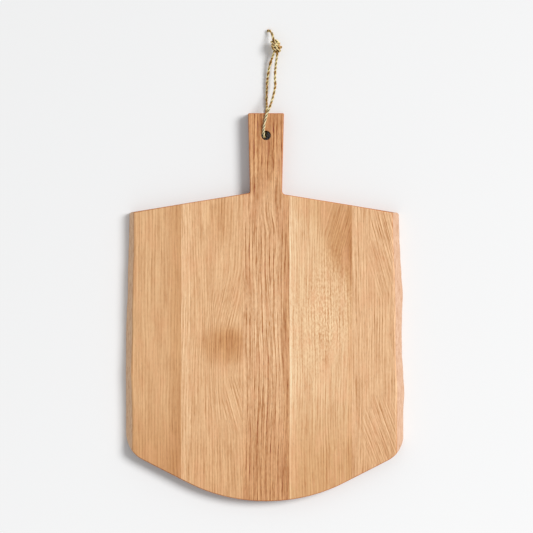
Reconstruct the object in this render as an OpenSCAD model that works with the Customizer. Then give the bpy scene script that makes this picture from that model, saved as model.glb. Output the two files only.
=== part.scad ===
// Pizza board of five edge-glued oak staves. It has a round nose, a natural edge down each side,
// a handle on the middle stave, and a knotted loop of twine through the handle's hole.
// It lies flat. The origin is under the middle of the wood, +Y points to the handle, +Z up.

/* [Board] */
// Length from the round nose to the end of the handle
board_length = 533; // [480:1:600]
// Width across the natural edges, where they are widest
blade_width = 384; // [350:1:420]
// Thickness of the wood
thickness = 19; // [15:1:26]
// Size of the eased edges
ease = 1.6; // [0.8:0.2:2.4]

/* [Blade] */
// Radius of the round nose
nose_radius = 240; // [180:5:260]
// Slope of the straight flanks beside the nose, in degrees
flank_angle = 27; // [20:1:30]
// Radius of the corners between the flanks and the natural edges
toe_radius = 44; // [20:1:55]
// Slope of the shoulders beside the handle, in degrees
shoulder_angle = 9.2; // [4:0.2:14]
// How much higher the left shoulder lies than the right one
shoulder_rise = 1.5; // [0:0.5:4]
// Radius of the corners between the shoulders and the natural edges
shoulder_radius = 4; // [3:1:12]

/* [Natural edges] */
// How far a natural edge leans in, from the underside up to the serving face
edge_lean = 10; // [4:0.5:14]
// How far a natural edge wanders in, along the board
edge_wander = 7.5; // [1:0.5:10]

/* [Handle] */
// Length of the handle, from the shoulders to its end
handle_length = 111; // [90:1:140]
// Width of the handle at its end
handle_end_width = 49.4; // [42:0.2:56]
// Width of the handle at the shoulders
handle_root_width = 44; // [40:0.2:54]
// How far the handle's centre line lies right of the board's middle
handle_offset = 1.2; // [0:0.2:4]
// Radius of the handle's outer corners
handle_corner_radius = 3; // [2.6:0.2:8]
// Radius of the inner corners where the handle meets the shoulders
handle_root_radius = 3; // [2:0.2:8]
// Bore of the hanging hole
hole_diameter = 12.5; // [10:0.5:16]
// Distance from the end of the handle to the middle of the hole
hole_inset = 30.6; // [26:0.2:40]
// Size of the eased rims of the hole
hole_ease = 1.2; // [0.6:0.2:2]

/* [Staves] */
// Width of the middle stave, which carries the handle
handle_stave_width = 64; // [60:1:80]
// Width of the stave to its left
left_stave_width = 84.5; // [60:0.5:95]
// Width of the stave to its right
right_stave_width = 86; // [60:0.5:95]

/* [Twine] */
// Thickness of the twine
twine_diameter = 3.6; // [2.6:0.2:4]
// Room beside and above the twine in the groove under the handle
groove_room = 0.8; // [0.6:0.1:1.6]
// How far the groove's middle lies right of the hole's middle
groove_offset = 0.8; // [0:0.2:2]
// Length of the knot
knot_length = 18; // [14:1:24]
// Thickness of the knot
knot_diameter = 12.5; // [9:0.5:16]

/* [Hidden] */

// Cuts run this far past the faces that they open
overrun = thickness / 4;
// Largest turn between two points of an arc, in degrees
arc_step = 3;
// Points along each natural edge, two for each step of its shares, and levels up it
edge_points = 22;
edge_levels = 4;
// How strongly a natural edge bulges: 1 is a straight slope
edge_bulge = 1.3;

half_width = blade_width / 2;
end_y = board_length / 2;
nose_y = -board_length / 2;
root_y = end_y - handle_length;
hole_y = end_y - hole_inset;
groove_width = twine_diameter + 2 * groove_room;
groove_depth = twine_diameter + groove_room;

// Places of the four glue lines across the board
handle_seam_left = handle_offset - handle_stave_width / 2;
handle_seam_right = handle_offset + handle_stave_width / 2;
outer_seam_left = handle_seam_left - left_stave_width;
outer_seam_right = handle_seam_right + right_stave_width;

// Wander and lean of the natural edges at even steps from the shoulder down to the toe
left_wander_shares = [0.67, 0.60, 0.48, 0.36, 0.35, 0.14, 0.04, 0.03, 0.00, 0.03, 0.04, 0.04];
right_wander_shares = [1.00, 0.92, 0.76, 0.53, 0.27, 0.41, 0.49, 0.43, 0.20, 0.00, 0.20, 0.20];
left_lean_shares = [0.68, 0.73, 0.83, 0.80, 0.77, 0.88, 0.97, 0.88, 0.78, 0.88, 0.96, 0.98];
right_lean_shares = [0.96, 0.98, 1.04, 1.06, 1.20, 1.03, 1.00, 1.03, 1.08, 1.10, 0.99, 0.98];

// Route of the twine: from the knot under the handle, up through the hole and back over it
loop_route = [
    [13.5, 354, 12.4], [11.6, 348.5, 11.6], [9, 341, 9.6], [6.2, 332, 7.4], [4, 320, 5.6],
    [2.7, 306, 4.4], [2.1, 292, 3.5], [2.1, 280, 2.7], [2.2, 268, 2.2], [2, 256, 2.1],
    [1.8, 247, 2.1], [1.6, 243, 2.1], [1, 239, 2.8], [0.2, 235.8, 5.2], [-0.7, 233.8, 8.8],
    [-1.4, 233.5, 12.8], [-1.9, 234.7, 16.4], [-2.2, 237.6, 19.2], [-2.3, 241.4, 20.9],
    [-1.7, 247, 21.2], [0.3, 257, 21.2], [2.4, 265, 21.1],
    [5.2, 271.5, 20.5], [8.2, 280, 18.6], [11.4, 291, 15.6], [13.8, 304, 13], [13.6, 317, 11.4],
    [14.3, 330, 10.9], [15.6, 341, 11.3], [16.6, 348.5, 12], [16, 354, 12.4]
];
long_tail_route = [
    [12.4, 363, 12.4], [11.2, 368.5, 12.2], [10.4, 373, 10.2], [8.4, 377.6, 7], [5.6, 380, 3.8],
    [3.6, 378.6, 2.2]
];
short_tail_route = [[16.5, 357.6, 13], [20, 358.2, 13.4], [23.4, 359.8, 14]];
knot_middle = [14.5, 359, 12.5];
knot_turn = 15;

function unit(v) = v / norm(v);

// Value of a list of shares, a part of the way along it
function along(shares, way) =
    let (
        place = max(0, min(1, way)) * (len(shares) - 1),
        i = min(floor(place), len(shares) - 2),
        f = place - i,
        s = f * f * (3 - 2 * f)
    )
    shares[i] * (1 - s) + shares[i + 1] * s;

// Arc that rounds one corner between the points before and after it
function corner_arc(before, corner, after, radius) =
    let (
        back = unit(before - corner),
        ahead = unit(after - corner),
        half = acos(back * ahead) / 2,
        turn = 180 - 2 * half,
        centre = corner + unit(back + ahead) * radius / sin(half),
        first = corner + back * radius / tan(half) - centre,
        last = corner + ahead * radius / tan(half) - centre,
        count = ceil(turn / arc_step)
    )
    [
        for (i = [0:count])
            centre + (first * sin(turn * (1 - i / count)) + last * sin(turn * i / count)) / sin(turn)
    ];

// Corners of the outline before rounding; side is -1 on the left and 1 on the right
nose_tip = [handle_offset, nose_y - nose_radius * (1 / cos(flank_angle) - 1)];
function toe(side) =
    [side * half_width, nose_tip.y + (half_width - side * handle_offset) * tan(flank_angle)];
function handle_root(side) =
    let (
        rise = side < 0 ? shoulder_rise : 0,
        taper = (handle_end_width - handle_root_width) / 2 / handle_length
    )
    [handle_offset + side * (handle_root_width / 2 + rise * taper), root_y + rise];
function handle_end(side) = [handle_offset + side * handle_end_width / 2, end_y];
function shoulder(side) =
    let (
        shares = side < 0 ? left_wander_shares : right_wander_shares,
        x = side * (half_width - edge_wander * shares[0])
    )
    [x, handle_root(side).y - abs(x - handle_root(side).x) * tan(shoulder_angle)];

// Stretch of a natural edge, between the arcs of the toe and the shoulder
function edge_low(side) = toe(side).y + toe_radius * tan(45 - flank_angle / 2);
function edge_high(side) = shoulder(side).y - shoulder_radius;

// Distance from the middle to a natural edge, at a place along the board and a height
function edge_reach(side, y, z) =
    let (
        wander_shares = side < 0 ? left_wander_shares : right_wander_shares,
        lean_shares = side < 0 ? left_lean_shares : right_lean_shares,
        way = (edge_high(side) - y) / (edge_high(side) - edge_low(side)),
        rise = max(0, z - ease) / (thickness - ease)
    )
    half_width - edge_wander * along(wander_shares, way)
        - edge_lean * along(lean_shares, way) * pow(rise, edge_bulge);

// Points up one side
function side_run(side) =
    let (low = edge_low(side), rise = edge_high(side) - low)
    [for (i = [1:edge_points - 1]) [side * half_width, low + rise * i / edge_points]];
function reversed(points) = [for (i = [len(points) - 1:-1:0]) points[i]];

// Outline of the wood seen from above, counterclockwise from the right toe
outline = concat(
    corner_arc(nose_tip, toe(1), [half_width, root_y], toe_radius),
    side_run(1),
    corner_arc([shoulder(1).x, nose_y], shoulder(1), handle_root(1), shoulder_radius),
    corner_arc(shoulder(1), handle_root(1), handle_end(1), handle_root_radius),
    corner_arc(handle_root(1), handle_end(1), handle_end(-1), handle_corner_radius),
    corner_arc(handle_end(1), handle_end(-1), handle_root(-1), handle_corner_radius),
    corner_arc(handle_end(-1), handle_root(-1), shoulder(-1), handle_root_radius),
    corner_arc(handle_root(-1), shoulder(-1), [shoulder(-1).x, nose_y], shoulder_radius),
    reversed(side_run(-1)),
    corner_arc([-half_width, root_y], toe(-1), nose_tip, toe_radius),
    corner_arc(toe(-1), nose_tip, toe(1), nose_radius)
);

// Outline at one height, drawn in by the ease and cut back to the natural edges
function ring(z, inset) = [
    for (i = [0:len(outline) - 1])
        let (
            before = outline[(i + len(outline) - 1) % len(outline)],
            after = outline[(i + 1) % len(outline)],
            run = unit(after - before),
            p = outline[i] + inset * [-run.y, run.x],
            reach = edge_reach(sign(p.x), p.y, z) - inset
        )
        [sign(p.x) * min(abs(p.x), reach), p.y, z]
];

// The whole board as if it were one slab: rings from the underside up, closed by two flat caps
module slab() {
    count = len(outline);
    heights = [for (k = [0:edge_levels]) ease + (thickness - 2 * ease) * k / edge_levels];
    rings = concat([ring(0, ease)], [for (z = heights) ring(z, 0)], [ring(thickness, ease)]);
    points = concat(
        [for (level = rings) for (p = level) p],
        [[handle_offset, 0, 0], [handle_offset, 0, thickness]]
    );
    top = (len(rings) - 1) * count;
    middle = len(rings) * count;
    polyhedron(points, concat(
        [
            for (k = [0:len(rings) - 2]) for (i = [0:count - 1])
                let (a = k * count + i, b = k * count + (i + 1) % count)
                for (face = [[a, a + count, b + count], [a, b + count, b]]) face
        ],
        [for (i = [0:count - 1]) [middle, i, (i + 1) % count]],
        [for (i = [0:count - 1]) [middle + 1, top + (i + 1) % count, top + i]]
    ));
}

// One stave of the slab, between two glue lines
module stave(from, to) {
    intersection() {
        slab();
        translate([from, nose_y - overrun, -overrun])
            cube([to - from, board_length + 2 * overrun, thickness + 2 * overrun]);
    }
}

// Bore of the hanging hole with an eased rim at both faces
module hanging_hole() {
    radius = hole_diameter / 2;
    translate([handle_offset, hole_y, -overrun])
        cylinder(h = thickness + 2 * overrun, r = radius, $fn = 64);
    translate([handle_offset, hole_y, thickness - hole_ease])
        cylinder(h = 2 * hole_ease, r1 = radius, r2 = radius + 2 * hole_ease, $fn = 64);
    translate([handle_offset, hole_y, -hole_ease])
        cylinder(h = 2 * hole_ease, r1 = radius + 2 * hole_ease, r2 = radius, $fn = 64);
}

// Groove under the handle, from the hole to the handle's end, so that the board lies flat
module twine_groove() {
    translate([handle_offset + groove_offset - groove_width / 2, hole_y, -overrun])
        cube([groove_width, hole_inset + overrun, groove_depth + overrun]);
}

module outer_left_stave() {
    color("#DBAB7C") stave(-half_width - overrun, outer_seam_left);
}

module left_stave() {
    color("#E3B587") stave(outer_seam_left, handle_seam_left);
}

module handle_stave() {
    color("#D4A070")
        difference() {
            stave(handle_seam_left, handle_seam_right);
            hanging_hole();
            twine_groove();
        }
}

module right_stave() {
    color("#E8BA8E") stave(handle_seam_right, outer_seam_right);
}

module outer_right_stave() {
    color("#E4B586") stave(outer_seam_right, half_width + overrun);
}

// Smooth curve through a route's points, with one more point between each two
function smooth(route) = concat(
    [
        for (i = [0:len(route) - 2]) for (f = [0, 0.5])
            let (
                p0 = route[max(i - 1, 0)],
                p1 = route[i],
                p2 = route[i + 1],
                p3 = route[min(i + 2, len(route) - 1)]
            )
            p1 + (p2 - p0) * f / 2 + (2 * p0 - 5 * p1 + 4 * p2 - p3) * f * f / 2
                + (3 * p1 - p0 - 3 * p2 + p3) * f * f * f / 2
    ],
    [route[len(route) - 1]]
);

// Sides of a tube carried along its path without a twist
function carried(tangents, side, i = 0) =
    i == len(tangents) ? [] :
    let (here = unit(side - (side * tangents[i]) * tangents[i]))
    concat([here], carried(tangents, here, i + 1));

// Round tube of the twine's thickness along a route
module twine(route) {
    sides = 8;
    path = smooth(route);
    last = len(path) - 1;
    tangents = [for (i = [0:last]) unit(path[min(i + 1, last)] - path[max(i - 1, 0)])];
    across = carried(tangents, [1, 0, 0]);
    points = [
        for (i = [0:last]) for (k = [0:sides - 1])
            let (a = 360 * k / sides)
            path[i] + twine_diameter / 2 * (cos(a) * across[i] + sin(a) * cross(tangents[i], across[i]))
    ];
    polyhedron(points, concat(
        [
            for (i = [0:last - 1]) for (k = [0:sides - 1])
                let (a = i * sides + k, b = i * sides + (k + 1) % sides)
                for (face = [[a, a + sides, b + sides], [a, b + sides, b]]) face
        ],
        [for (k = [1:sides - 2]) [0, k, k + 1]],
        [for (k = [1:sides - 2]) [last * sides, last * sides + k + 1, last * sides + k]]
    ));
}

// Outer shape of the knot, a barrel with rounded ends
module twine_knot() {
    color("#B99A5F")
        translate(knot_middle)
            rotate([-90, 0, knot_turn])
                rotate_extrude($fn = 32)
                    polygon([
                        for (a = [-90:15:90])
                            [
                                knot_diameter / 2 * pow(cos(a), 0.8),
                                knot_length / 2 * sign(a) * pow(abs(sin(a)), 0.8)
                            ]
                    ]);
}

// A run of twine that ends on the knot's surface
module run_to_knot(route) {
    color("#BF9C5C")
        difference() {
            twine(route);
            twine_knot();
        }
}

module twine_loop() {
    run_to_knot(loop_route);
}

module twine_long_tail() {
    run_to_knot(long_tail_route);
}

module twine_short_tail() {
    run_to_knot(short_tail_route);
}

outer_left_stave();
left_stave();
handle_stave();
right_stave();
outer_right_stave();
twine_loop();
twine_knot();
twine_long_tail();
twine_short_tail();
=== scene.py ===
"""Pizza board of oak staves with a knotted loop of twine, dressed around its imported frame.

The board lies flat, with +Y towards the handle and +Z up. Sizes are in metres, but the routes
of the twine and the patterns in the wood are in millimetres.
"""

import math
import random

import bmesh
import bpy
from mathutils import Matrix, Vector, noise


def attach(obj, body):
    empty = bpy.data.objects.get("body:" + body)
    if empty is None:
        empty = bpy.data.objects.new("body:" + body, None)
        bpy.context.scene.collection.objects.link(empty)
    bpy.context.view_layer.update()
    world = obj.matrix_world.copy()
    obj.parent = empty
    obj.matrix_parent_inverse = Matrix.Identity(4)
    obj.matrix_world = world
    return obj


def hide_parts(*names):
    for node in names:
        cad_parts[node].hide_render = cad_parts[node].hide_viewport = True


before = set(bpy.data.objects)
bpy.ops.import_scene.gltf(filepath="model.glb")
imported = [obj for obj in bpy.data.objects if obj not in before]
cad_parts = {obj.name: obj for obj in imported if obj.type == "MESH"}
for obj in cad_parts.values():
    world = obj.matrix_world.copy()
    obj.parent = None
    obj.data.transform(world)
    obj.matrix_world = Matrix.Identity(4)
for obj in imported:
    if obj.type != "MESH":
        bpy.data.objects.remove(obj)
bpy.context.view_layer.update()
bpy.ops.object.select_all(action="DESELECT")

# Camera. The photograph looks straight down on the board from four metres, a little towards
# the handle. The lens takes in 735 mm of the floor.
CAMERA_X, CAMERA_Y, CAMERA_HEIGHT = 0.0019, 0.0559, 4.0
FLOOR_IN_VIEW, SENSOR_WIDTH, FARTHEST_SEEN = 0.73535, 36, 20
bpy.ops.object.camera_add(location=(CAMERA_X, CAMERA_Y, CAMERA_HEIGHT), rotation=(0, 0, 0))
camera = bpy.context.object
camera.name = "camera"
camera.data.sensor_width = SENSOR_WIDTH
camera.data.lens = SENSOR_WIDTH * CAMERA_HEIGHT / FLOOR_IN_VIEW
camera.data.clip_end = FARTHEST_SEEN
bpy.context.scene.camera = camera
bpy.context.scene.view_settings.view_transform = "Standard"


# Twine loop. One length of natural jute, two plies twisted together, runs from the knot under
# the handle, up through the hanging hole and back over the handle to the knot. It lies loose
# and is tied only to itself.
MM = 1000
TWINE = 0.0036
LOOP_STEP = 0.0009
LOOP_ROUTE = [
    (13.5, 354, 12.4), (11.6, 348.5, 11.6), (9, 341, 9.6), (6.2, 332, 7.4), (4, 320, 5.6),
    (2.7, 306, 4.4), (2.1, 292, 3.5), (2.1, 280, 2.7), (2.2, 268, 2.2), (2, 256, 2.1),
    (1.8, 247, 2.1), (1.6, 243, 2.1), (1, 239, 2.8), (0.2, 235.8, 5.2), (-0.7, 233.8, 8.8),
    (-1.4, 233.5, 12.8), (-1.9, 234.7, 16.4), (-2.2, 237.6, 19.2), (-2.3, 241.4, 20.9),
    (-1.7, 247, 21.2), (0.3, 257, 21.2), (2.4, 265, 21.1), (5.2, 271.5, 20.5),
    (8.2, 280, 18.6), (11.4, 291, 15.6), (13.8, 304, 13), (13.6, 317, 11.4),
    (14.3, 330, 10.9), (15.6, 341, 11.3), (16.6, 348.5, 12), (16, 354, 12.4),
]


def smooth_path(route, step):
    """Evenly spaced points along a smooth curve through the points of a route in mm."""
    parts = 24
    points = [Vector(p) / MM for p in route]
    fine = []
    for i in range(len(points) - 1):
        p0, p1, p2 = points[max(i - 1, 0)], points[i], points[i + 1]
        p3 = points[min(i + 2, len(points) - 1)]
        for k in range(parts):
            f = k / parts
            fine.append(
                p1 + (p2 - p0) * f / 2 + (2 * p0 - 5 * p1 + 4 * p2 - p3) * f**2 / 2
                + (3 * p1 - p0 - 3 * p2 + p3) * f**3 / 2
            )
    fine.append(points[-1])
    path, since = [fine[0]], 0.0
    for a, b in zip(fine, fine[1:]):
        gap = (b - a).length
        while since + gap >= step:
            a = a + (b - a) * ((step - since) / gap)
            gap, since = (b - a).length, 0.0
            path.append(a)
        since += gap
    if (path[-1] - fine[-1]).length > step / 2:
        path.append(fine[-1])
    return path


def frames_along(path):
    """The direction of a path at each point, and two sides that follow it without a twist."""
    sides, across = [], Vector((1, 0, 0))
    for i in range(len(path)):
        ahead = (path[min(i + 1, len(path) - 1)] - path[max(i - 1, 0)]).normalized()
        across = (across - ahead * across.dot(ahead)).normalized()
        sides.append((ahead, across, ahead.cross(across)))
    return sides


# The plies: how many, their radius, how far they lie from the twine's middle, how long a turn
# of them is and a turn of their own fibres, and how many corners they have around.
PLIES, PLY_RADIUS, PLY_OFFSET, PLY_PITCH = 2, 0.00102, 0.00082, 0.0136
FIBRE_PITCH, PLY_CORNERS = 0.009, 12

# How uneven the twist is, in turns, and how lumpy the plies' offset and radius are, with how
# often each changes in a metre and the place of its noise.
SLACK, SLACK_RATE, SLACK_PLACE = 0.3, 90, 3.1
LUMP_OFFSET, LUMP_RADIUS, LUMP_RATE, LUMP_PLACE = 0.12, 0.14, 190, 7.3

# Frayed ends: how fast each ply leaves the middle, how fast it thins out, and to what share.
FRAY_SPREAD, FRAY_THINNING, FRAY_THINNEST = (0.10, 0.18), 90, 0.35

# Loose fibres: how far out in the twine they start, as a share of its thickness, and how far
# they stand off, lean and curl, as shares of their own length. Then their length, radius and
# taper, how many bends and sides they have, the lowest that they may lie, and how many points
# at each end of the twine have none.
HAIR_START, HAIR_RISE, HAIR_LEAN, HAIR_CURL = 0.40, 0.55, (0.6, 1.5), (-0.8, 0.8)
HAIR_LENGTH, HAIR_RADIUS, HAIR_TAPER = (0.0012, 0.0030), 0.00004, 1.3
HAIR_BENDS, HAIR_SIDES, HAIR_LOWEST, HAIR_FROM_END = 3, 3, 0.0002, 2


def add_ply(mesh, uv_layer, outward, centres, radii, path, sides):
    """A closed tube of round rings, with its length in metres along U and its girth along V.
    The layer outward holds how far each corner lies from the middle of the whole twine, as a
    share of the twine's radius."""
    fibre_turn = 2 * math.pi / FIBRE_PITCH
    rings, run = [], 0.0
    for i, (p, (_, a, b)) in enumerate(zip(centres, sides)):
        if i:
            run += (p - centres[i - 1]).length
        ring = []
        for k in range(PLY_CORNERS):
            angle = 2 * math.pi * k / PLY_CORNERS + fibre_turn * run
            vert = mesh.verts.new(p + (a * math.cos(angle) + b * math.sin(angle)) * radii[i])
            vert[outward] = (vert.co - path[i]).length / (TWINE / 2)
            ring.append(vert)
        rings.append((ring, run))
    for (low, s0), (high, s1) in zip(rings, rings[1:]):
        for k in range(PLY_CORNERS):
            n = (k + 1) % PLY_CORNERS
            face = mesh.faces.new((low[k], low[n], high[n], high[k]))
            face.smooth = True
            v0, v1 = k / PLY_CORNERS, (k + 1) / PLY_CORNERS
            for loop, uv in zip(face.loops, ((s0, v0), (s0, v1), (s1, v1), (s1, v0))):
                loop[uv_layer].uv = uv
    for ring, turn in ((rings[0][0], -1), (rings[-1][0], 1)):
        face = mesh.faces.new(ring[::turn])
        for loop in face.loops:
            loop[uv_layer].uv = (0, 0)


def add_hair(mesh, uv_layer, outward, root, out, lean, curl, length, run):
    """One loose fibre: a thin closed tube that leaves its root and narrows to its tip."""
    across = curl.normalized()
    rings = []
    for k in range(HAIR_BENDS + 1):
        f = k / HAIR_BENDS
        middle = root + (out * f * HAIR_RISE + lean * f + curl * f * f) * length
        middle.z = max(middle.z, HAIR_LOWEST)
        radius = HAIR_RADIUS * (HAIR_TAPER - f)
        ring = [mesh.verts.new(middle + d * radius) for d in (out, across, -out - across)]
        for vert in ring:
            vert[outward] = 1.0
        rings.append(ring)
    for low, high in zip(rings, rings[1:]):
        for k in range(HAIR_SIDES):
            n = (k + 1) % HAIR_SIDES
            face = mesh.faces.new((low[k], low[n], high[n], high[k]))
            face.smooth = True
            for loop in face.loops:
                loop[uv_layer].uv = (run, 0.5)
    mesh.faces.new(rings[0][::-1])
    mesh.faces.new(rings[-1])


def lay_twine(name, path, seed, frayed_from=None, fuzz=3.2, swell=1.0):
    """Plies twisted about a path, with fuzz loose fibres on each millimetre. Past the place
    frayed_from the plies part and thin out, and swell is how far a bent twine spreads."""
    draw = random.Random(seed)
    sides = frames_along(path)
    mesh = bmesh.new()
    uv_layer = mesh.loops.layers.uv.new("UVMap")
    outward = mesh.verts.layers.float.new("outward")
    step = (path[1] - path[0]).length
    for ply in range(PLIES):
        centres, radii = [], []
        for i, (p, (_, a, b)) in enumerate(zip(path, sides)):
            run = i * step
            slack = SLACK * noise.noise(Vector((run * SLACK_RATE, SLACK_PLACE, seed)))
            angle = 2 * math.pi * (run / PLY_PITCH + ply / PLIES + slack)
            lump = noise.noise(Vector((run * LUMP_RATE, ply * LUMP_PLACE, seed)))
            frayed = 0 if frayed_from is None else max(0.0, run - frayed_from)
            offset = PLY_OFFSET * swell * (1 + LUMP_OFFSET * lump) + frayed * FRAY_SPREAD[ply]
            thin = max(FRAY_THINNEST, 1 - frayed * FRAY_THINNING)
            centres.append(p + (a * math.cos(angle) + b * math.sin(angle)) * offset)
            radii.append(PLY_RADIUS * swell * (1 + LUMP_RADIUS * lump) * thin)
        add_ply(mesh, uv_layer, outward, centres, radii, path, sides)
    for _ in range(int(len(path) * step * MM * fuzz)):
        i = draw.randrange(HAIR_FROM_END, len(path) - HAIR_FROM_END)
        ahead, a, b = sides[i]
        angle = draw.uniform(0, 2 * math.pi)
        out = a * math.cos(angle) + b * math.sin(angle)
        root = path[i] + out * TWINE * HAIR_START
        lean = ahead * draw.choice((-1, 1)) * draw.uniform(*HAIR_LEAN)
        curl = ahead.cross(out) * draw.uniform(*HAIR_CURL)
        length = draw.uniform(*HAIR_LENGTH)
        add_hair(mesh, uv_layer, outward, root, out, lean, curl, length, i * step)
    bmesh.ops.recalc_face_normals(mesh, faces=mesh.faces)
    data = bpy.data.meshes.new(name)
    mesh.to_mesh(data)
    mesh.free()
    piece = bpy.data.objects.new(name, data)
    bpy.context.scene.collection.objects.link(piece)
    return piece


class Socket:
    """A value in a finish, on which sums and products add Math nodes."""

    def __init__(self, finish, socket):
        self.finish, self.socket = finish, socket

    def __add__(self, other):
        return self.finish.maths("ADD", self, other)

    def __sub__(self, other):
        return self.finish.maths("SUBTRACT", self, other)

    def __rsub__(self, other):
        return self.finish.maths("SUBTRACT", other, self)

    def __mul__(self, other):
        return self.finish.maths("MULTIPLY", self, other)

    __radd__, __rmul__ = __add__, __mul__

    def ramp(self, low, high):
        """0 below low, 1 above high, and a soft step between them."""
        sockets = {"Value": self, "From Min": low, "From Max": high}
        return self.finish.node("ShaderNodeMapRange", {"interpolation_type": "SMOOTHSTEP"}, sockets)


class Finish:
    """One material: a Principled shader and the nodes that feed it."""

    # The places of the factor, the two colours and the result on a Mix node for colours.
    FACTOR, FIRST, SECOND, MIXED = 0, 6, 7, 2

    def __init__(self, name, **constants):
        self.material = bpy.data.materials.new(name)
        self.material.use_nodes = True
        self.nodes = self.material.node_tree.nodes
        self.links = self.material.node_tree.links
        self.shader = self.nodes["Principled BSDF"]
        for socket, value in constants.items():
            self.shader.inputs[socket.replace("_", " ")].default_value = value

    def node(self, kind, settings=None, sockets=None, out=0):
        """Adds a node with its settings, and fills or links its sockets."""
        node = self.nodes.new(kind)
        for key, value in (settings or {}).items():
            setattr(node, key, value)
        for key, value in (sockets or {}).items():
            if isinstance(value, Socket):
                self.links.new(value.socket, node.inputs[key])
            else:
                node.inputs[key].default_value = value
        return Socket(self, node.outputs[out])

    def maths(self, operation, *values):
        """One sum, product or other operation on values."""
        return self.node("ShaderNodeMath", {"operation": operation}, dict(enumerate(values)))

    def place(self):
        """The place on the piece, in metres."""
        return self.node("ShaderNodeTexCoord", out="Object")

    def parts(self, vector):
        """The three parts of a place or a direction."""
        split = self.node("ShaderNodeSeparateXYZ", None, {0: vector}).socket.node
        return [Socket(self, part) for part in split.outputs]

    def joined(self, x, y, z):
        """A place made of three values, to squeeze or stretch a pattern."""
        return self.node("ShaderNodeCombineXYZ", None, {0: x, 1: y, 2: z})

    def noise(self, vector, scale=1.0, detail=2.0, roughness=0.5, seed=0.0):
        """Soft spots, of about one to a unit of vector times scale."""
        sockets = {"Vector": vector, "W": seed, "Scale": scale, "Detail": detail,
                   "Roughness": roughness}
        return self.node("ShaderNodeTexNoise", {"noise_dimensions": "4D"}, sockets)

    def mix(self, factor, a, b, clamp=True):
        """Goes from a at 0 to b at 1, and straight on past them where clamp is off."""
        settings = {"data_type": "RGBA", "clamp_factor": clamp, "clamp_result": True}
        sockets = {self.FACTOR: factor, self.FIRST: a, self.SECOND: b}
        return self.node("ShaderNodeMix", settings, sockets, out=self.MIXED)

    def dye(self, factor, ground, stain):
        """A stain that darkens the ground and lets its pattern show through."""
        settings = {"data_type": "RGBA", "blend_type": "MULTIPLY"}
        sockets = {self.FACTOR: factor, self.FIRST: ground, self.SECOND: stain}
        return self.node("ShaderNodeMix", settings, sockets, out=self.MIXED)

    def feed(self, name, value):
        """Links a value to one socket of the shader."""
        self.links.new(value.socket, self.shader.inputs[name])

    def bump(self, height, distance, strength=1.0):
        """Makes the surface rise with height, by at most distance in metres."""
        sockets = {"Height": height, "Distance": distance, "Strength": strength}
        self.feed("Normal", self.node("ShaderNodeBump", None, sockets))


def colour(red, green, blue):
    """A colour as it looks on a screen, from 0 to 255, made linear."""
    def linear(c):
        c /= 255
        return c / 12.92 if c <= 0.04045 else ((c + 0.055) / 1.055) ** 2.4
    return (linear(red), linear(green), linear(blue), 1.0)


# The twine's finish. Fibres run along the plies, with paler and browner spots, and dark brown is
# painted between the plies as shade. The tops of the strands over the handle are painted pale
# as a highlight, and so, half as much, is the top of the knot.
jute = Finish("jute")
fibre_run, fibre_girth, _ = jute.parts(jute.node("ShaderNodeUVMap", {"uv_map": "UVMap"}))
twine_place = jute.place()
_, twine_y, twine_z = jute.parts(twine_place)
blotches = jute.noise(twine_place, scale=210, detail=2, seed=2)
tufts = jute.noise(twine_place, scale=900, detail=2, seed=3)
fibres = jute.noise(jute.joined(fibre_run * 700, fibre_girth * 22, 0), detail=2, seed=5)
# Painted shade: outside falls to 0 deep between the plies, where the twine turns dark brown.
outside = jute.node("ShaderNodeAttribute", {"attribute_name": "outward"}, out="Fac").ramp(0.45, 0.88)
straw = jute.mix(blotches.ramp(0.42, 0.58), colour(210, 148, 52), colour(255, 234, 164))
straw = jute.mix(tufts.ramp(0.52, 0.66) * 0.5, straw, colour(154, 100, 34))
# Painted highlights: the strands are paler on top where they cross the handle, and the knot's crowns
# half as much.
handle_top_highlight = twine_z.ramp(0.0185, 0.0210) * (1 - twine_y.ramp(0.262, 0.276))
knot_crown_highlight = twine_z.ramp(0.0155, 0.0185) * twine_y.ramp(0.335, 0.345) * 0.5
straw = jute.mix((handle_top_highlight + knot_crown_highlight) * 0.85, straw, colour(255, 242, 198))
jute.feed("Base Color", jute.mix(outside * fibres.ramp(0.22, 0.5), colour(58, 34, 8), straw))
jute.feed("Roughness", fibres * 0.2 + 0.75)
jute.bump(fibres + tufts * 0.6, 0.0003)

loop_path = smooth_path(LOOP_ROUTE, LOOP_STEP)
twine_loop = lay_twine("jute_loop", loop_path, seed=3)
twine_loop.data.materials.append(jute.material)
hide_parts("twine_loop")
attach(twine_loop, "root")

# Knot. Both ends of the loop are tied together in one tight overhand knot of the same jute: a
# long wrap and a short one that crosses it, round two strands that go straight on.
KNOT_MIDDLE = Vector((0.0145, 0.359, 0.0125))
KNOT_TURN = math.radians(15)
knot_axis = Vector((-math.sin(KNOT_TURN), math.cos(KNOT_TURN), 0))
knot_side = Vector((math.cos(KNOT_TURN), math.sin(KNOT_TURN), 0))
knot_up = Vector((0, 0, 1))

# Where a wrap starts round the axis, and in how many points a turn of it is made. Half the
# knot's length in mm, and the share that it is narrower there. How far a wrap strays in and
# out in mm, and how fast.
WRAP_START, WRAP_POINTS = math.radians(235), 14
KNOT_HALF, KNOT_NARROWING = 8, 0.30
WRAP_STRAY, WRAP_STRAY_TURN = 0.3, 8

# The straight strands' points in mm, along the axis, to its side and up.
STRAIGHT_STRANDS = (
    ((-9, -1.2, 0), (-4, -1.4, 0.8), (0, -1.2, -0.6), (4, -1.0, 0.6), (8, -1.6, 0)),
    ((-9, 1.5, 0), (-4, 1.6, -0.8), (0, 1.4, 0.8), (4, 1.2, 0), (7, 0.8, 0.4)),
)
STRAND_STEP, FIRST_SEED = 0.0008, 20

# How near the axis a strand is darkest, over what depth it gets paler, and how dark it gets,
# as painted shade deep between the knot's wraps.
KNOT_CORE, KNOT_DEPTH, CORE_SHARE = 0.0020, 0.0032, 0.7


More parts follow.
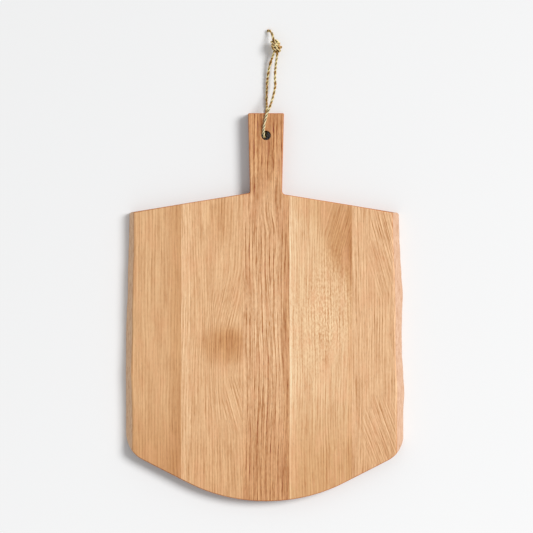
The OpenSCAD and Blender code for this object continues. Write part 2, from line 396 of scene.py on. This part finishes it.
def wrap_route(first, last, turns, tilt, girth):
    """Points in mm of a strand wound round the knot's axis, from first to last along it, in
    turns that slant by tilt and are widest at the knot's middle, where they reach girth."""
    route = []
    count = int(turns * WRAP_POINTS)
    for i in range(count + 1):
        way = i / count
        angle = WRAP_START + 2 * math.pi * turns * way
        along = first + (last - first) * way
        reach = girth * (1 - KNOT_NARROWING * (along / KNOT_HALF) ** 2)
        reach += WRAP_STRAY * math.sin(WRAP_STRAY_TURN * way)
        along -= tilt * math.cos(angle)
        out = knot_side * math.cos(angle) + knot_up * math.sin(angle)
        route.append(KNOT_MIDDLE * MM + knot_axis * along + out * reach)
    return route


strand_routes = [
    wrap_route(first=-7.4, last=8.0, turns=3.6, tilt=1.8, girth=4.4),
    wrap_route(first=-0.6, last=2.8, turns=1.1, tilt=-1.6, girth=4.9),
]
for points in STRAIGHT_STRANDS:
    strand_routes.append([
        KNOT_MIDDLE * MM + knot_axis * along + knot_side * aside + knot_up * up
        for along, aside, up in points
    ])
strands = []
for i, route in enumerate(strand_routes):
    strand_path = smooth_path(route, STRAND_STEP)
    strands.append(lay_twine(f"knot_strand_{i}", strand_path, FIRST_SEED + i, fuzz=2.0, swell=1.15))
bpy.ops.object.select_all(action="DESELECT")
for strand in strands:
    strand.select_set(True)
    # Painted shade: a strand is darker the deeper it lies in the knot, between its wraps.
    for vert, outward in zip(strand.data.vertices, strand.data.attributes["outward"].data):
        out = vert.co - KNOT_MIDDLE
        out -= knot_axis * out.dot(knot_axis)
        outward.value *= max(CORE_SHARE, min(1.0, (out.length - KNOT_CORE) / KNOT_DEPTH))
bpy.context.view_layer.objects.active = strands[0]
bpy.ops.object.join()
twine_knot = bpy.context.object
twine_knot.name = "jute_knot"
twine_knot.data.materials.append(jute.material)
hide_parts("twine_knot")
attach(twine_knot, "root")

# Tails. One end of the twine leaves the knot's far side and curls down to the table, and the
# other is cut short and stands out of the knot's right side. Both are frayed jute.
LONG_TAIL = [
    (12.4, 363, 12.4), (11.4, 368.5, 12.2), (10.4, 373.4, 10.2), (8.2, 378.6, 7),
    (5.2, 381.4, 3.8), (3.0, 379.8, 2.2),
]
SHORT_TAIL = [(16.5, 357.6, 13), (20, 357.6, 13.2), (23.2, 357.2, 12.6)]
LONG_STEP, SHORT_STEP = 0.0008, 0.0006
long_path, short_path = smooth_path(LONG_TAIL, LONG_STEP), smooth_path(SHORT_TAIL, SHORT_STEP)
long_tail = lay_twine("jute_long_tail", long_path, seed=41, frayed_from=0.024, fuzz=5)
short_tail = lay_twine("jute_short_tail", short_path, seed=47, frayed_from=0.004, fuzz=14)
for tail, node in ((long_tail, "twine_long_tail"), (short_tail, "twine_short_tail")):
    tail.data.materials.append(jute.material)
    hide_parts(node)
    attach(tail, "root")
loop_length = sum((b - a).length for a, b in zip(loop_path, loop_path[1:]))


# Blank. The board is sawn from a slab of five oak staves glued edge to edge: a rectangle, cut
# back to the nose and the shoulders, with the handle left standing on the middle stave and
# every edge eased.
HALF_WIDTH, END_Y, THICKNESS, EASE = 0.192, 0.2665, 0.019, 0.0016
NOSE_RADIUS, FLANK, TOE_RADIUS = 0.240, math.radians(27), 0.044
SHOULDER, SHOULDER_CORNER = math.radians(9.2), 0.004
HANDLE_LENGTH, HANDLE_END, HANDLE_ROOT, HANDLE_X = 0.111, 0.0494, 0.0440, 0.0012
LEFT, RIGHT = -1, 1
HANDLE_CORNER, ROOT_RADIUS = 0.0018, {LEFT: 0.003, RIGHT: 0.0055}
SQUARE = math.pi / 2

# Into how many parts each arc is divided, and how near a place a point counts as being on it.
NOSE_PARTS, TOE_PARTS, CORNER_PARTS, EASE_PARTS = 32, 18, 6, 4
ON_PLACE, ON_CORNER = 1e-6, 1e-5

# Where the shoulders meet the handle, and where the flanks would meet beyond the round nose.
root_y = END_Y - HANDLE_LENGTH
tip_y = -END_Y - NOSE_RADIUS * (1 / math.cos(FLANK) - 1)


def select(piece, kind, wanted):
    """In edit mode, selects the verts, edges or faces whose middle is wanted, and no others."""
    bpy.ops.mesh.select_all(action="DESELECT")
    bpy.ops.mesh.select_mode(type={"verts": "VERT", "edges": "EDGE", "faces": "FACE"}[kind])
    mesh = bmesh.from_edit_mesh(piece.data)
    for part in getattr(mesh, kind):
        ends = [part] if kind == "verts" else part.verts
        if wanted(sum((vert.co for vert in ends), Vector()) / len(ends)):
            part.select_set(True)
    mesh.select_flush_mode()
    bmesh.update_edit_mesh(piece.data)


def round_corner(piece, corner, radius, turn, parts):
    """Rounds the corner of the outline, where it turns by turn, to an arc of some parts. The
    profile is the one with which a bevel of corners gives a true arc."""
    select(piece, "verts", lambda p: (p - Vector(corner)).length < ON_CORNER)
    bpy.ops.mesh.bevel(
        affect="VERTICES", offset_type="OFFSET", offset=radius * math.tan(turn / 2),
        segments=parts, profile=(1 - 1 / (2 * (1 + math.cos(turn / 2)))) ** 2,
    )


bpy.ops.mesh.primitive_plane_add(size=1, location=(0, 0, 0))
blank = bpy.context.object
blank.name = "blank"
bpy.ops.object.mode_set(mode="EDIT")
bpy.ops.transform.resize(value=(2 * HALF_WIDTH, root_y - tip_y, 1))
bpy.ops.transform.translate(value=(0, (root_y + tip_y) / 2, 0))
for side in (LEFT, RIGHT):
    bpy.ops.mesh.select_all(action="SELECT")
    bpy.ops.mesh.bisect(
        plane_co=(HANDLE_X, tip_y, 0), plane_no=(side * math.sin(FLANK), -math.cos(FLANK), 0),
        clear_outer=True)
    bpy.ops.mesh.select_all(action="SELECT")
    bpy.ops.mesh.bisect(
        plane_co=(HANDLE_X + side * HANDLE_ROOT / 2, root_y, 0),
        plane_no=(side * math.sin(SHOULDER), math.cos(SHOULDER), 0), clear_outer=True)
select(blank, "edges", lambda p: abs(p.y - root_y) < ON_PLACE)
bpy.ops.mesh.extrude_edges_move(TRANSFORM_OT_translate={"value": (0, HANDLE_LENGTH, 0)})
bpy.ops.transform.resize(value=(HANDLE_END / HANDLE_ROOT, 1, 1), center_override=(HANDLE_X, END_Y, 0))
bpy.ops.mesh.select_all(action="SELECT")
bpy.ops.mesh.dissolve_faces()

# The left shoulder lies a little higher than the right one. The blank's upper corners slide
# along the shoulders to where the natural edges begin.
SHOULDER_IN, SHOULDER_RISE = {LEFT: 0.0050, RIGHT: 0.0075}, {LEFT: 0.0015, RIGHT: 0.0}
TAPER = (HANDLE_END - HANDLE_ROOT) / 2 / HANDLE_LENGTH
toe_y = {side: tip_y + (HALF_WIDTH - side * HANDLE_X) * math.tan(FLANK) for side in (LEFT, RIGHT)}
root_at, shoulder_at = {}, {}
for side in (LEFT, RIGHT):
    rise, root_x = SHOULDER_RISE[side], HANDLE_X + side * HANDLE_ROOT / 2
    select(blank, "verts", lambda p: max(abs(p.x - root_x), abs(p.y - root_y)) < ON_PLACE)
    bpy.ops.transform.translate(value=(side * rise * TAPER, rise, 0))
    root_at[side] = (root_x + side * rise * TAPER, root_y + rise, 0)
    select(blank, "verts", lambda p: abs(p.x - side * HALF_WIDTH) < ON_PLACE and p.y > 0)
    drop = SHOULDER_IN[side] * math.tan(SHOULDER)
    bpy.ops.transform.translate(value=(-side * SHOULDER_IN[side], drop + rise, 0))
    x = side * (HALF_WIDTH - SHOULDER_IN[side])
    shoulder_at[side] = (x, root_y + rise - abs(x - root_x) * math.tan(SHOULDER), 0)
round_corner(blank, (HANDLE_X, tip_y, 0), NOSE_RADIUS, 2 * FLANK, NOSE_PARTS)
for side in (LEFT, RIGHT):
    end_at = (HANDLE_X + side * HANDLE_END / 2, END_Y, 0)
    round_corner(blank, (side * HALF_WIDTH, toe_y[side], 0), TOE_RADIUS, SQUARE - FLANK, TOE_PARTS)
    round_corner(blank, shoulder_at[side], SHOULDER_CORNER, SQUARE - SHOULDER, CORNER_PARTS)
    round_corner(blank, root_at[side], ROOT_RADIUS[side], SQUARE - SHOULDER, CORNER_PARTS)
    round_corner(blank, end_at, HANDLE_CORNER, SQUARE, CORNER_PARTS)
bpy.ops.mesh.select_all(action="SELECT")
bpy.ops.mesh.extrude_region_move(TRANSFORM_OT_translate={"value": (0, 0, THICKNESS)})
bpy.ops.mesh.select_all(action="SELECT")
bpy.ops.mesh.normals_make_consistent(inside=False)
select(blank, "edges", lambda p: min(p.z, THICKNESS - p.z) < ON_PLACE)
bpy.ops.mesh.bevel(affect="EDGES", offset=EASE, segments=EASE_PARTS, profile=0.5)
bpy.ops.object.mode_set(mode="OBJECT")


# Natural edges. The outer staves keep the waney outside of the log: a slope that leans in
# towards the serving face, wanders along the board, and is rippled where the bark came off.
# Shares of the wander and of the lean are listed from the shoulder to the toe.
WANDER, LEAN, BULGE = 0.0075, 0.010, 1.3
WANDER_SHARES = {
    LEFT: (0.67, 0.60, 0.48, 0.36, 0.35, 0.14, 0.04, 0.03, 0.00, 0.03, 0.04, 0.04),
    RIGHT: (1.00, 0.92, 0.76, 0.53, 0.27, 0.41, 0.49, 0.43, 0.20, 0.00, 0.20, 0.20),
}
LEAN_SHARES = {
    LEFT: (0.68, 0.73, 0.83, 0.80, 0.77, 0.88, 0.97, 0.88, 0.78, 0.88, 0.96, 0.98),
    RIGHT: (0.96, 0.98, 1.04, 1.06, 1.20, 1.03, 1.00, 1.03, 1.08, 1.10, 0.99, 0.98),
}

# Each size of ripple: its depth, how often it comes in a metre along the board and up it, and
# the place of its noise. The ripples fade out over the last twelfth at each end.
RIPPLES = ((0.00030, 110, 40, 5), (0.00022, 330, 120, 9), (0.00012, 800, 500, 3))
RIPPLE_ENDS = 12

# How far out the outer side begins, how long its own edges are at least, and into how many
# levels and by how many cuts it is divided. How far from the toe and from the shoulder the
# natural edge ends, how near the blank's side its points lie, and how thick its skin is.
OUTER_SIDE, LONG_EDGE, SIDE_LEVELS, SIDE_CUTS = 0.17, 0.2, 8, 170
FROM_TOE, FROM_SHOULDER, ON_SIDE, SKIN = 0.026, 0.003, 2e-4, 0.0008


def share_at(shares, way):
    """The share at a way from 0 to 1 along the edge, by soft steps between those given."""
    spot = max(0.0, min(1.0, way)) * (len(shares) - 1)
    i = min(int(spot), len(shares) - 2)
    f = spot - i
    s = f * f * (3 - 2 * f)
    return shares[i] * (1 - s) + shares[i + 1] * s


def natural_reach(side, y, z):
    """How far out the natural edge lies, at a place along the board and a height."""
    low = toe_y[side] + TOE_RADIUS * math.tan((SQUARE - FLANK) / 2)
    high = shoulder_at[side][1] - SHOULDER_CORNER
    way = (high - y) / (high - low)
    rise = max(0.0, z - EASE) / (THICKNESS - EASE)
    ripple = sum(
        depth * noise.noise(Vector((y * along, z * upwards, side * place)))
        for depth, along, upwards, place in RIPPLES
    )
    fade = max(0.0, min(1.0, RIPPLE_ENDS * way)) * max(0.0, min(1.0, RIPPLE_ENDS * (1 - way)))
    return (HALF_WIDTH - WANDER * share_at(WANDER_SHARES[side], way)
            - LEAN * share_at(LEAN_SHARES[side], way) * rise**BULGE - fade * abs(ripple))


def shape_natural_edge(stave, side):
    """Cuts the stave's outer side into fine strips, moves them to the natural edge, and gives
    the faces of its skin."""
    bpy.context.view_layer.objects.active = stave
    bpy.ops.object.mode_set(mode="EDIT")
    for k in range(1, SIDE_LEVELS):
        bpy.ops.mesh.select_all(action="SELECT")
        height = EASE + (THICKNESS - 2 * EASE) * k / SIDE_LEVELS
        bpy.ops.mesh.bisect(plane_co=(0, 0, height), plane_no=(0, 0, 1))
    bpy.ops.mesh.select_all(action="DESELECT")
    bpy.ops.mesh.select_mode(type="EDGE")
    mesh = bmesh.from_edit_mesh(stave.data)
    for edge in mesh.edges:
        a, b = (vert.co for vert in edge.verts)
        if min(side * a.x, side * b.x) > OUTER_SIDE and abs(a.y - b.y) > LONG_EDGE:
            edge.select_set(True)
    bmesh.update_edit_mesh(stave.data)
    bpy.ops.mesh.subdivide(number_cuts=SIDE_CUTS)
    mesh = bmesh.from_edit_mesh(stave.data)
    bottom, top = Vector((side * HALF_WIDTH, toe_y[side], 0)), Vector(shoulder_at[side])
    for vert in mesh.verts:
        x, y, z = side * vert.co.x, vert.co.y, vert.co.z
        below_edge = max(0.0, EASE - min(z, THICKNESS - z))
        inset = EASE - math.sqrt(max(0.0, EASE**2 - below_edge**2))
        line = side * (bottom.x + (top.x - bottom.x) * (y - bottom.y) / (top.y - bottom.y))
        reach = natural_reach(side, y, z) - inset
        between = toe_y[side] + FROM_TOE < y < top.y - FROM_SHOULDER
        if x > reach or (between and abs(line - x - inset) < ON_SIDE):
            vert.co.x = side * reach
    bmesh.update_edit_mesh(stave.data)
    bpy.ops.mesh.select_all(action="SELECT")
    bpy.ops.mesh.normals_make_consistent(inside=False)

    def on_skin(p):
        """Whether a face lies on the natural edge, and below the eased edge of its top."""
        out = side * p.x
        low_enough = p.z < THICKNESS - EASE / 2
        return out > OUTER_SIDE and low_enough and out > natural_reach(side, p.y, p.z) - SKIN

    select(stave, "faces", on_skin)
    bpy.ops.object.mode_set(mode="OBJECT")
    return {face.index for face in stave.data.polygons if face.select}


# Outer left stave. Rift-sawn oak with fine straight grain, a little darker beside its glue
# line, with the natural edge of the log on its left. It is glued to the left stave.
GLUE_LINES = (-0.1153, -0.0308, 0.0332, 0.1192)

# Edges that turn by less than this look round, and a face this near to level looks flat.
ROUND_UNDER, LEVEL = math.radians(35), 0.999

# How much a full stain takes away of red, green and blue.
STAIN = (0.20, 0.35, 0.53)


def rip_stave(name, low_x, high_x):
    """A copy of the blank, sawn off at the glue lines beside one stave."""
    bpy.ops.object.select_all(action="DESELECT")
    blank.select_set(True)
    bpy.context.view_layer.objects.active = blank
    bpy.ops.object.duplicate()
    stave = bpy.context.object
    stave.name = name
    bpy.ops.object.mode_set(mode="EDIT")
    for at, direction in ((low_x, -1), (high_x, 1)):
        if at is not None:
            bpy.ops.mesh.select_all(action="SELECT")
            bpy.ops.mesh.bisect(
                plane_co=(at, 0, 0), plane_no=(direction, 0, 0), use_fill=True, clear_outer=True)
    bpy.ops.object.mode_set(mode="OBJECT")
    return stave


def tinted(mean, shares):
    """A mean colour with each of its parts times a share, and at most 250."""
    return colour(*(min(250, part * share) for part, share in zip(mean, shares)))


def oak_finish(name, mean, seed, pith, ring=3.6, contrast=1.0, spacing=1.9,
               swirls=(), slants=(), flecks=(), patches=(), bare=None):
    """Oiled oak with its rings, pores, rays and slow changes of colour, as one solid pattern in
    mm. mean is its middle colour and contrast the strength of its lines. pith is where the
    middle of the log lies, across and up, ring how wide its rings are, and spacing its lines.

    Each swirl, slant, fleck and patch is an oval: its place across and along, its half width
    and half length, and an amount. The grain is pushed aside in a swirl, and it leans in a
    slant, where 0 gives straight and stronger lines. A fleck is of short rays, and a patch is
    darker, or paler below 0. The eased edges are darker and more orange, but not in the oval bare."""
    oak = Finish(name)
    across, length, up = (part * MM for part in oak.parts(oak.place()))

    def oval(x, y, wide, long):
        """1 at the middle of a soft oval and 0 past its half width and half length."""
        aside, on = (across - x) * (1 / wide), (length - y) * (1 / long)
        return 1 - (aside * aside + on * on).ramp(0.0, 1.0)

    def streaks(course, wide, long, row, detail=1, roughness=0.5):
        """Noise in streaks along the board, of about that width and length."""
        vector = oak.joined(course * (1 / wide), length * (1 / long), up * (1 / wide))
        return oak.noise(vector, detail=detail, roughness=roughness, seed=seed + row)

    def figure(course):
        """The soft early wood of each ring, the long lines, and how dark all the lines are
        together, where course is a place counted across the grain."""
        out, deep = course - pith[0], up - pith[1]
        radius = oak.maths("POWER", out * out + deep * deep, 0.5)
        uneven = oak.noise(oak.joined(radius * 0.07, 0.0, 0.0), detail=2, seed=seed + 5)
        early = 1 - oak.maths("FRACT", radius * (1 / ring) + uneven * 0.9).ramp(0.0, 0.5)
        strands = streaks(course, wide=spacing, long=90, row=11).ramp(0.38, 0.62) - 0.5
        dashes = streaks(course, wide=spacing, long=30, row=13).ramp(0.50, 0.66)
        grit = streaks(course, wide=spacing, long=7, row=17) - 0.5
        return early, strands, early * 0.42 + strands * 0.55 + dashes * 0.4 + grit * 0.8

    slow = streaks(across, wide=90, long=240, row=0, detail=1.5) - 0.5
    fine = streaks(across, wide=26, long=100, row=3, detail=2) - 0.5
    grain = across + slow * 16 + fine * 3
    for x, y, wide, long, shift in swirls:
        grain = grain + oval(x, y, wide, long) * shift
    early, strands, lines = figure(grain)
    for x, y, wide, long, slope in slants:
        leaning = figure(across + (length - y) * slope)[2] * 1.4
        lines = lines + (leaning - lines) * oval(x, y, wide, long)
    for x, y, wide, long, strength in flecks:
        rays = streaks(across, wide=1.9, long=5, row=23).ramp(0.4, 0.6) - 0.5
        lines = lines + rays * oval(x, y, wide, long) * strength

    broad = streaks(grain, wide=11, long=260, row=7, detail=2) - 0.5
    cloud = streaks(across, wide=22, long=50, row=9, detail=3, roughness=0.6) - 0.5
    shade = 0.26 + broad * 0.3 + cloud * 0.4 + lines * contrast
    light, dark = tinted(mean, (1.08, 1.13, 1.20)), tinted(mean, (0.87, 0.79, 0.70))
    tone = oak.mix(shade, light, dark, clamp=False)
    for x, y, wide, long, strength in patches:
        stain = tuple(1 - strength * part for part in STAIN) + (1.0,)
        tone = oak.dye(oval(x, y, wide, long), tone, stain)
    flush = streaks(across, wide=14, long=38, row=21, detail=2, roughness=0.6).ramp(0.45, 0.7)
    tone = oak.mix(flush * 0.35, tone, tinted(mean, (1.03, 0.98, 1.0)))
    vessels = streaks(grain, wide=0.28, long=5, row=15).ramp(0.56, 0.66)
    pores = vessels * (early * 0.8 + 0.2)
    tone = oak.mix(pores * (0.5 * contrast), tone, tinted(mean, (0.62, 0.62, 0.62)))

    # The eased edges are darker and more orange, and the sawn walls are darker than the serving face.
    _, _, upright = oak.parts(oak.node("ShaderNodeNewGeometry", out="Normal"))
    eased = (1 - upright * upright).ramp(0.02, 0.4)
    if bare:
        eased = eased * (1 - oval(*bare))
    tone = oak.mix(eased * 0.9, tone, tinted(mean, (0.86, 0.63, 0.38)))
    wall = (1 - oak.maths("ABSOLUTE", upright)).ramp(0.7, 1.0)
    oak.feed("Base Color", oak.dye(wall, tone, (0.46, 0.49, 0.59, 1.0)))
    oak.feed("Roughness", 0.5 + pores * 0.2 + strands * 0.1)
    oak.bump(0 - pores - lines * 0.3, 0.00015, 0.7)
    return oak.material


def sapwood_finish(name, mean, seed):
    """The log's own outside: greyish pink sapwood with ripples, where thin bark came off."""
    skin = Finish(name)
    across, length, up = (part * MM for part in skin.parts(skin.place()))
    drift = skin.noise(skin.joined(across * 0.04, length * 0.012, up * 0.1), seed=seed)
    height = up + drift * 6
    fibre_place = skin.joined(0.0, length * 0.06, height * 0.9)
    flake_place = skin.joined(0.0, length * 0.15, height * 0.35)
    fibres = skin.noise(fibre_place, detail=4, roughness=0.65, seed=seed + 1)
    flakes = skin.noise(flake_place, detail=3, roughness=0.6, seed=seed + 2)
    sunk, raised = tinted(mean, (0.92, 0.87, 0.82)), tinted(mean, (1.05, 1.08, 1.10))
    tone = skin.mix(fibres.ramp(0.35, 0.65), sunk, raised)
    tone = skin.mix(flakes.ramp(0.52, 0.68) * 0.6, tone, tinted(mean, (0.86, 0.76, 0.66)))
    skin.feed("Base Color", tone)
    skin.feed("Roughness", fibres * 0.2 + 0.6)
    skin.bump(fibres + flakes * 0.8, 0.0005, 0.8)
    return skin.material


def finish_stave(stave, node, material):
    """Gives a stave its wood, round shading on its eased edges, and its place in the frame."""
    stave.data.materials.append(material)
    bpy.ops.object.select_all(action="DESELECT")
    stave.select_set(True)
    bpy.context.view_layer.objects.active = stave
    bpy.ops.object.shade_smooth_by_angle(angle=ROUND_UNDER)
    for face in stave.data.polygons:
        if abs(face.normal.z) > LEVEL:
            face.use_smooth = False
    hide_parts(node)
    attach(stave, "root")


def skin_stave(stave, faces, material):
    """Gives the faces of a natural edge their sapwood."""
    stave.data.materials.append(material)
    for face in stave.data.polygons:
        if face.index in faces:
            face.material_index = 1


outer_left_stave = rip_stave("outer_left_oak_stave", None, GLUE_LINES[0])
left_skin = shape_natural_edge(outer_left_stave, LEFT)
finish_stave(outer_left_stave, "outer_left_stave", oak_finish(
    "outer_left_oak", (217, 166, 114), seed=1.0, pith=(-420, -160), contrast=0.6,
    patches=((-119, 0, 16, 900, 0.45), (-150, -300, 300, 190, 0.7), (-162, 40, 22, 120, -0.15)),
    bare=(-184, -60, 30, 210)))
# Painted light: the two sapwoods are one wood, given a paler colour here on the left, which faces
# away from the lamp, than on the right.
skin_stave(outer_left_stave, left_skin, sapwood_finish("left_sapwood", (236, 194, 156), 31.0))

# Left stave. Flat-sawn oak, palest at its left glue line, with a dark swirl of grain in its
# middle where a branch began. The grain fans out above the swirl. It is glued on both sides.
left_stave = rip_stave("left_oak_stave", GLUE_LINES[0], GLUE_LINES[1])
finish_stave(left_stave, "left_stave", oak_finish(
    "left_oak", (226, 176, 125), seed=2.0, pith=(120, -60), contrast=0.8,
    swirls=((-44, -60, 44, 120, 9),),
    slants=((-50, 3, 24, 48, -0.22), (-43, -134, 20, 48, 0.27)),
    patches=(
        (-111, 20, 12, 900, -0.45), (-54, -52, 44, 36, 0.8), (-46, -47, 22, 20, 0.45),
        (-60, -300, 300, 150, 0.4), (-62, 120, 24, 44, 0.4),
    )))

# Handle stave. Coarse, straight oak with the darkest lines, in one piece with the handle. The
# hanging hole is bored through it and its rims are eased, and a groove cut under the handle
# lets the twine pass.
HOLE_RADIUS, HOLE_EASE, HOLE_Y = 0.00625, 0.0012, 0.2359
HOLE_CORNERS, RIM_PARTS = 64, 5
GROOVE_WIDTH, GROOVE_DEPTH, GROOVE_X, GROOVE_PAST_END = 0.0052, 0.0044, 0.0020, 0.005
handle_stave = rip_stave("handle_oak_stave", GLUE_LINES[1], GLUE_LINES[2])


def cut_away(stave, cutter):
    """Cuts one solid out of a stave, and deletes the cutter."""
    cut = stave.modifiers.new("cut", "BOOLEAN")
    cut.operation, cut.solver, cut.object = "DIFFERENCE", "EXACT", cutter
    bpy.ops.object.select_all(action="DESELECT")
    stave.select_set(True)
    bpy.context.view_layer.objects.active = stave
    bpy.ops.object.modifier_apply(modifier=cut.name)
    bpy.data.objects.remove(cutter)


bpy.ops.mesh.primitive_cylinder_add(
    vertices=HOLE_CORNERS, radius=HOLE_RADIUS, depth=THICKNESS - 2 * HOLE_EASE,
    location=(HANDLE_X, HOLE_Y, THICKNESS / 2))
drill = bpy.context.object
bpy.ops.object.mode_set(mode="EDIT")
for way in (-1, 1):
    select(drill, "faces", lambda p: way * p.z > THICKNESS / 2 - HOLE_EASE - ON_PLACE)
    for k in range(RIM_PARTS):
        turn = [SQUARE * (k + j) / RIM_PARTS for j in (0, 1)]
        rise = HOLE_EASE * (math.sin(turn[1]) - math.sin(turn[0]))
        wide = [HOLE_RADIUS + HOLE_EASE * (1 - math.cos(t)) for t in turn]
        bpy.ops.mesh.extrude_region_move(TRANSFORM_OT_translate={"value": (0, 0, way * rise)})
        grow = wide[1] / wide[0]
        bpy.ops.transform.resize(value=(grow, grow, 1))
    bpy.ops.mesh.extrude_region_move(TRANSFORM_OT_translate={"value": (0, 0, way * HOLE_EASE)})
bpy.ops.object.mode_set(mode="OBJECT")
cut_away(handle_stave, drill)
groove_length = END_Y - HOLE_Y + GROOVE_PAST_END
bpy.ops.mesh.primitive_cube_add(size=1, location=(GROOVE_X, HOLE_Y + groove_length / 2, 0))
bpy.ops.object.mode_set(mode="EDIT")
bpy.ops.transform.resize(value=(GROOVE_WIDTH, groove_length, 2 * GROOVE_DEPTH))
bpy.ops.object.mode_set(mode="OBJECT")
cut_away(handle_stave, bpy.context.object)
finish_stave(handle_stave, "handle_stave", oak_finish(
    "handle_oak", (222, 170, 120), seed=3.0, pith=(160, -70), ring=4.6, contrast=1.35,
    spacing=1.7, swirls=((4, 160, 20, 60, 5),), slants=((0, 225, 60, 90, 0.0),),
    patches=(
        (30, 20, 8, 900, 0.5), (0, 262, 60, 130, 0.9), (0, -300, 100, 190, 0.7),
        (0, -20, 30, 90, -0.4), (5.9, -22.5, 1.1, 5, 1.5), (32.2, -45, 1.1, 5, 1.2),
        # Painted shadow: a dark stripe on the wood along the left of the twine where it crosses the
        # handle.
        (-4.8, 248, 2.2, 17, 1.5),
    ),
    bare=(MM * HANDLE_X, MM * HOLE_Y, 12, 12)))
# Painted shade: the walls of the hanging hole are painted dark brown, as the deep shade inside the
# bore, with a soft mottle.
bore = Finish("bore")
bore_shade_mottle = bore.noise(bore.place(), scale=300, detail=3, seed=51)
bore.feed("Base Color", bore.mix(bore_shade_mottle.ramp(0.35, 0.65), colour(52, 33, 20), colour(92, 62, 40)))
bore.feed("Roughness", bore_shade_mottle * 0.2 + 0.6)
bore.bump(bore_shade_mottle, 0.0002)
handle_stave.data.materials.append(bore.material)
for face in handle_stave.data.polygons:
    from_middle = Vector((face.center.x - HANDLE_X, face.center.y - HOLE_Y)).length
    if from_middle < HOLE_RADIUS + HOLE_EASE / 4:
        face.material_index = 1

# Right stave. Quarter-sawn oak, the palest, with short curled rays across the grain. A dark
# patch with slanting pores lies near its upper right corner. It is glued on both sides.
right_stave = rip_stave("right_oak_stave", GLUE_LINES[2], GLUE_LINES[3])
finish_stave(right_stave, "right_stave", oak_finish(
    "right_oak", (237, 187, 137), seed=4.0, pith=(-180, -30), contrast=0.7,
    slants=((103, 109, 28, 50, -0.28),),
    flecks=((96, 10, 44, 110, 0.55), (60, -30, 44, 100, 0.35)),
    patches=(
        (112, 92, 36, 58, 0.7), (112, 112, 56, 96, 0.55), (117, 60, 12, 60, 0.4),
        (38, 0, 8, 900, -0.3), (35.2, 0, 1.8, 900, -0.6), (118, 0, 8, 900, 0.4),
        (70, -300, 300, 200, 0.8), (76, 160, 60, 60, 0.5),
    )))

# Outer right stave. Rift-sawn oak whose grain runs out to the lower right, with the natural
# edge of the log on its right. It is glued to the right stave.
outer_right_stave = rip_stave("outer_right_oak_stave", GLUE_LINES[3], None)
right_skin = shape_natural_edge(outer_right_stave, RIGHT)
finish_stave(outer_right_stave, "outer_right_stave", oak_finish(
    "outer_right_oak", (229, 179, 129), seed=5.0, pith=(-60, -60), contrast=0.85,
    slants=((164, 85, 28, 90, 0.27), (158, -171, 32, 60, 0.36)),
    patches=((160, -280, 100, 130, 0.4),), bare=(182, -30, 30, 210)))
# Painted shade: this right sapwood is the same wood as the left one, given a darker colour because
# this side faces the lamp.
skin_stave(outer_right_stave, right_skin, sapwood_finish("right_sapwood", (217, 175, 144), 37.0))
bpy.data.objects.remove(blank)

# Table. A pale, matt studio floor lies under the board and keeps its soft shadow. Painted light
# makes it a little brighter towards the lower right.
FLOOR_SIZE, FLOOR_Z = 16, -0.00005
FLOOR_DULL, FLOOR_BRIGHT = (0.86, 0.86, 0.86, 1.0), (0.97, 0.97, 0.97, 1.0)
bpy.ops.mesh.primitive_plane_add(size=FLOOR_SIZE, location=(0, 0, FLOOR_Z))
floor = bpy.context.object
floor.name = "floor"
paper = Finish("paper", Roughness=1.0, Specular_IOR_Level=0.0)
floor_x, floor_y, _ = paper.parts(paper.place())
painted_light_lower_right = floor_x * 0.81 - floor_y * 0.59
paper.feed("Base Color", paper.mix(painted_light_lower_right.ramp(-1.0, 1.0), FLOOR_DULL, FLOOR_BRIGHT))
floor.data.materials.append(paper.material)

# Light. One large soft lamp shines from the right, a little from the handle's side, and a plain
# grey world fills the shadows.
LAMP_HEIGHT, LAMP_FROM, LAMP_SPREAD = math.radians(46), math.radians(21), math.radians(25)
LAMP_STRENGTH, WORLD_GREY = 2.35, (0.457, 0.46, 0.464, 1.0)
bpy.ops.object.light_add(type="SUN", rotation=(0, SQUARE - LAMP_HEIGHT, LAMP_FROM))
lamp = bpy.context.object
lamp.name = "lamp"
lamp.data.energy = LAMP_STRENGTH
lamp.data.angle = LAMP_SPREAD
world = bpy.data.worlds.new("studio")
bpy.context.scene.world = world
world.use_nodes = True
world.node_tree.nodes["Background"].inputs["Color"].default_value = WORLD_GREY
